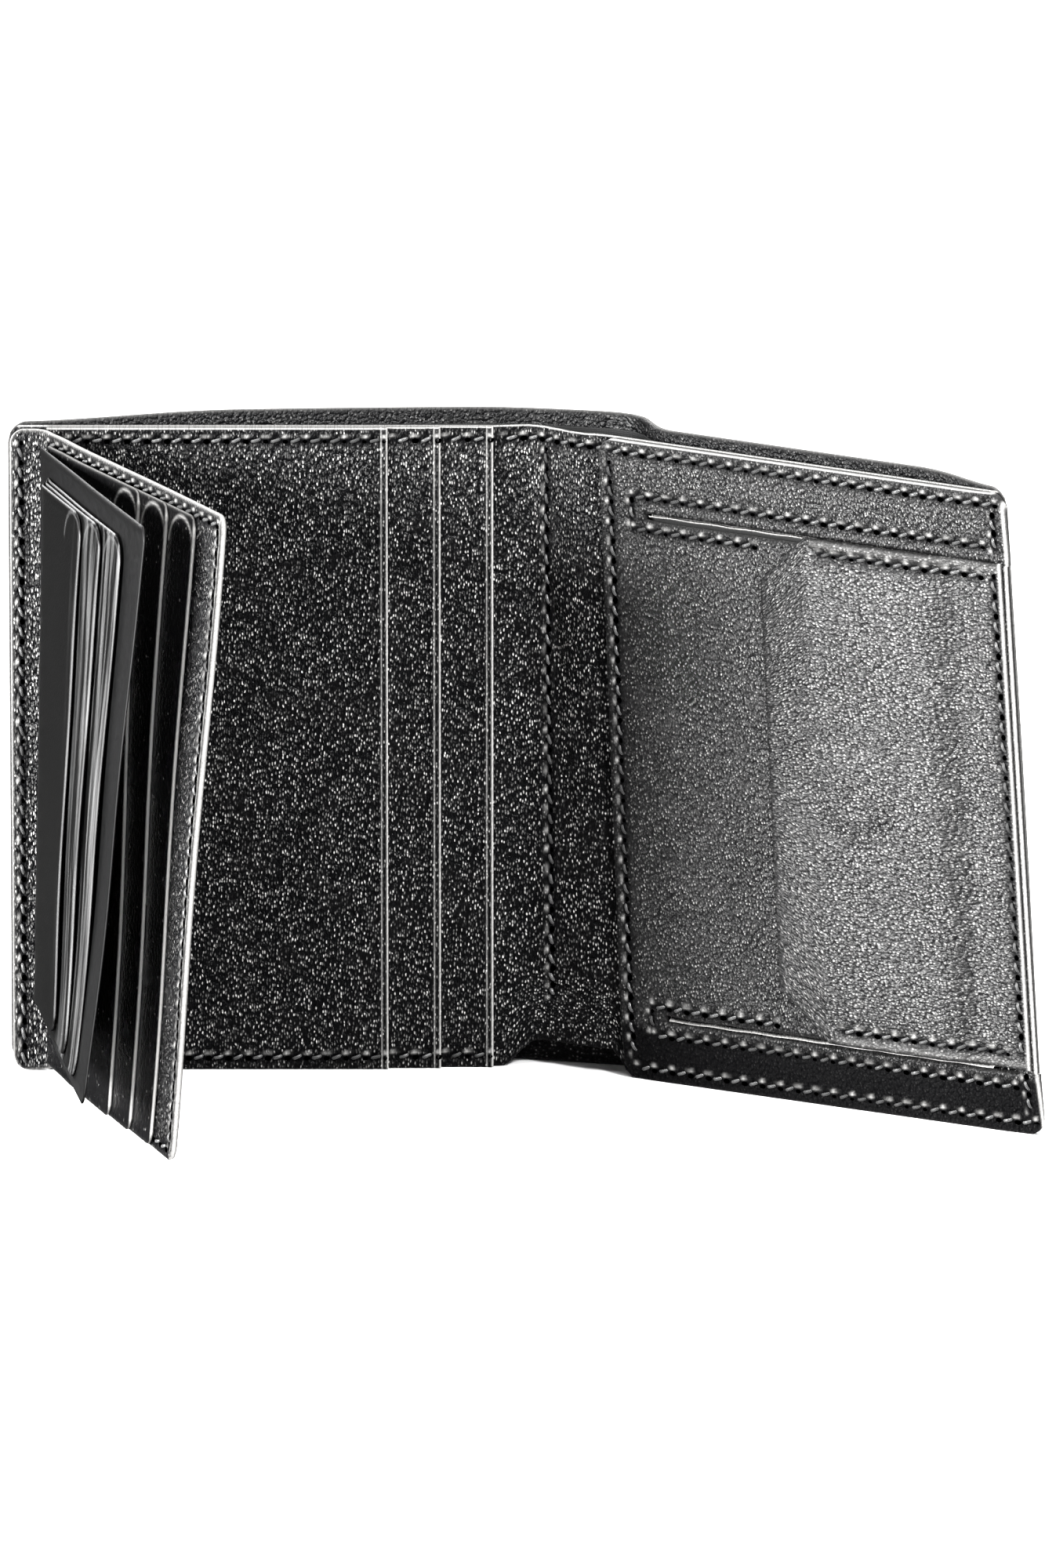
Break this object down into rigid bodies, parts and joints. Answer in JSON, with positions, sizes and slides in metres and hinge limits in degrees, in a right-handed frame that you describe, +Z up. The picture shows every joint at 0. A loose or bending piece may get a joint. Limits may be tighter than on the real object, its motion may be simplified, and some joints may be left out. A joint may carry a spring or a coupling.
{
  "type": "trifold wallet",
  "caption": "Black leather trifold wallet standing open, with stepped card pockets, a hinged card leaf, a clear sleeve page and a snap-flap coin pocket.",
  "frame": {"origin": "middle of the main panel cover's bottom edge, which the wallet stands on", "axes": "+X along the main panel towards the spine and the coin panel, +Z up, -Y towards whoever looks at the open wallet's inside"},
  "size_m": [0.1519, 0.07, 0.099],
  "materials": {
    "cover_leather": "glossy fine grain",
    "inner_leather": "glossy fine grain",
    "lining_cloth": "plain woven cloth",
    "board": "matt",
    "thread": "waxed thread",
    "snap_metal": "dark nickel",
    "clear_film": "clear soft film"
  },
  "bodies": {
    "main_panel": {"cover_main": "cover_leather", "bill_lining_main": "lining_cloth", "stiffener_main": "board", "inner_panel_main": "inner_leather", "card_pocket_back": "inner_leather", "card_pocket_middle": "inner_leather", "card_pocket_front": "inner_leather", "leaf_hinge_strip": "inner_leather", "main_stitching": "thread"},
    "spine": {"cover_spine": "cover_leather", "bill_lining_spine": "lining_cloth", "inner_panel_spine": "inner_leather"},
    "coin_panel": {"cover_coin": "cover_leather", "bill_lining_coin": "lining_cloth", "stiffener_coin": "board", "bill_divider_coin": "lining_cloth", "inner_panel_coin": "inner_leather", "coin_pocket_lining": "lining_cloth", "coin_border_top": "inner_leather", "coin_border_bottom": "inner_leather", "coin_border_side": "inner_leather", "coin_pocket_wall": "lining_cloth", "coin_gusset_top": "lining_cloth", "coin_gusset_bottom": "lining_cloth", "coin_pocket_front": "inner_leather", "snap_stud": "snap_metal", "snap_stud_plate": "snap_metal", "coin_border_stitching": "thread", "coin_pocket_stitching": "thread"},
    "coin_flap": {"coin_flap_outer": "inner_leather", "coin_flap_lining": "lining_cloth", "snap_socket": "snap_metal", "snap_cap": "snap_metal", "coin_flap_stitching": "thread"},
    "leaf": {"leaf_backing": "inner_leather", "leaf_pocket_back": "inner_leather", "leaf_pocket_middle": "inner_leather", "leaf_pocket_front": "inner_leather", "leaf_stitching": "thread"},
    "sleeve": {"sleeve_film": "clear_film", "sleeve_window_back": "clear_film", "sleeve_window_middle": "clear_film", "sleeve_window_front": "clear_film"}
  },
  "joints": [
    {"name": "spine_fold", "type": "hinge", "parent": "main_panel", "child": "spine", "pos_m": [0.036, -0.0062, 0.05], "axis": [0, 0, -1], "range_deg": [-16, 74]},
    {"name": "coin_panel_fold", "type": "hinge", "parent": "spine", "child": "coin_panel", "pos_m": [0.05248, -0.01405, 0.05], "axis": [0, 0, -1], "range_deg": [-16, 74]},
    {"name": "leaf_hinge", "type": "hinge", "parent": "main_panel", "child": "leaf", "pos_m": [-0.0301, -0.0094, 0.05], "axis": [0, 0, -1], "range_deg": [-68, 14.71]},
    {"name": "sleeve_hinge", "type": "hinge", "parent": "leaf", "child": "sleeve", "pos_m": [-0.0301, -0.0094, 0.05], "axis": [0, 0, -1], "range_deg": [-6.5, 1.41]},
    {"name": "coin_flap_hinge", "type": "hinge", "parent": "coin_panel", "child": "coin_flap", "pos_m": [0.10902, -0.04961, 0.05], "axis": [0, 0, 1], "range_deg": [0, 170]}
  ],
  "couplings": [
    {"joint": "coin_panel_fold", "follows": "spine_fold", "ratio": 1},
    {"joint": "leaf_hinge", "follows": "spine_fold", "ratio": -0.9189},
    {"joint": "sleeve_hinge", "follows": "spine_fold", "ratio": -0.0878}
  ]
}
